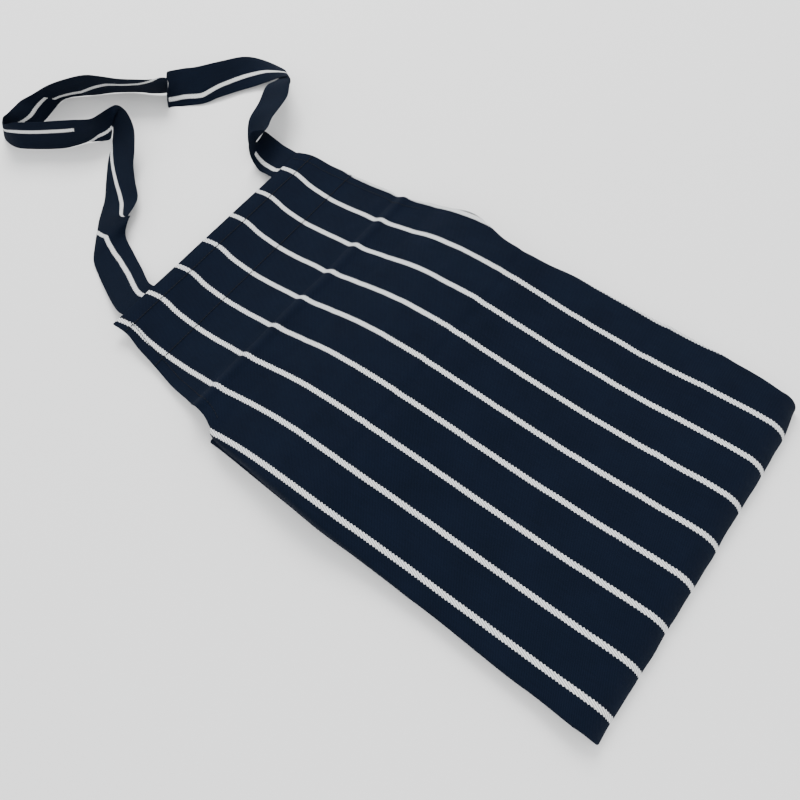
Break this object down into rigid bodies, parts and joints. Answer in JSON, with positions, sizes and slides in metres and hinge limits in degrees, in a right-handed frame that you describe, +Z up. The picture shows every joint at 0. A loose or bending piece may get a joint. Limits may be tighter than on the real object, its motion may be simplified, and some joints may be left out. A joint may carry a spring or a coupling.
{
  "type": "butcher apron",
  "caption": "Bib apron of navy woven cotton with white lengthwise stripes, folded flat, with a looped neck strap and folded waist ties.",
  "frame": {"origin": "middle of the bounding box at the table surface", "axes": "+X along the apron from the bib and neck strap to the main fold, +Y across it towards the wearer's left side, +Z up from the table"},
  "size_m": [0.799, 0.3846, 0.0392],
  "materials": {
    "striped_twill": "matt woven cotton twill, navy with white woven stripes 36 mm apart",
    "turned_hem": "matt reverse side of the same twill, turned under and sewn",
    "strap_cloth": "the same twill folded double and pressed, one white stripe along it",
    "sewing_thread": "dark navy spun polyester thread"
  },
  "bodies": {
    "lower_half": {"lower_front_panel": "striped_twill", "lower_left_side_fold": "striped_twill", "lower_right_side_fold": "striped_twill", "lower_left_flap": "striped_twill", "lower_right_flap": "striped_twill", "bottom_hem": "turned_hem", "lower_left_side_hem": "turned_hem", "lower_right_side_hem": "turned_hem", "front_main_fold": "striped_twill", "right_flap_main_fold": "striped_twill", "left_flap_main_fold": "striped_twill"},
    "upper_half": {"upper_front_panel": "striped_twill", "upper_left_side_fold": "striped_twill", "upper_right_side_fold": "striped_twill", "upper_left_flap": "striped_twill", "upper_right_flap": "striped_twill", "bib_hem_facing": "turned_hem", "bib_hem_stitch_row_1": "sewing_thread", "bib_hem_stitch_row_2": "sewing_thread", "armhole_hem_left": "turned_hem", "armhole_hem_right": "turned_hem", "upper_left_side_hem": "turned_hem", "upper_right_side_hem": "turned_hem", "strap_end_left": "strap_cloth", "strap_end_right": "strap_cloth", "waist_tie_left": "strap_cloth", "waist_tie_right": "strap_cloth", "tie_bar_tack_left": "sewing_thread", "tie_bar_tack_right": "sewing_thread"},
    "neck_strap": {"neck_strap": "strap_cloth"}
  },
  "joints": [
    {"name": "main_fold", "type": "hinge", "parent": "lower_half", "child": "upper_half", "pos_m": [0.39866, 0, 0.0135], "axis": [0, 1, 0], "range_deg": [0, 178], "deforming": ["front_main_fold", "right_flap_main_fold", "left_flap_main_fold"]},
    {"name": "strap_swing", "type": "hinge", "parent": "upper_half", "child": "neck_strap", "pos_m": [-0.11534, 0, 0.0145], "axis": [0, 1, 0], "range_deg": [0, 165]}
  ]
}
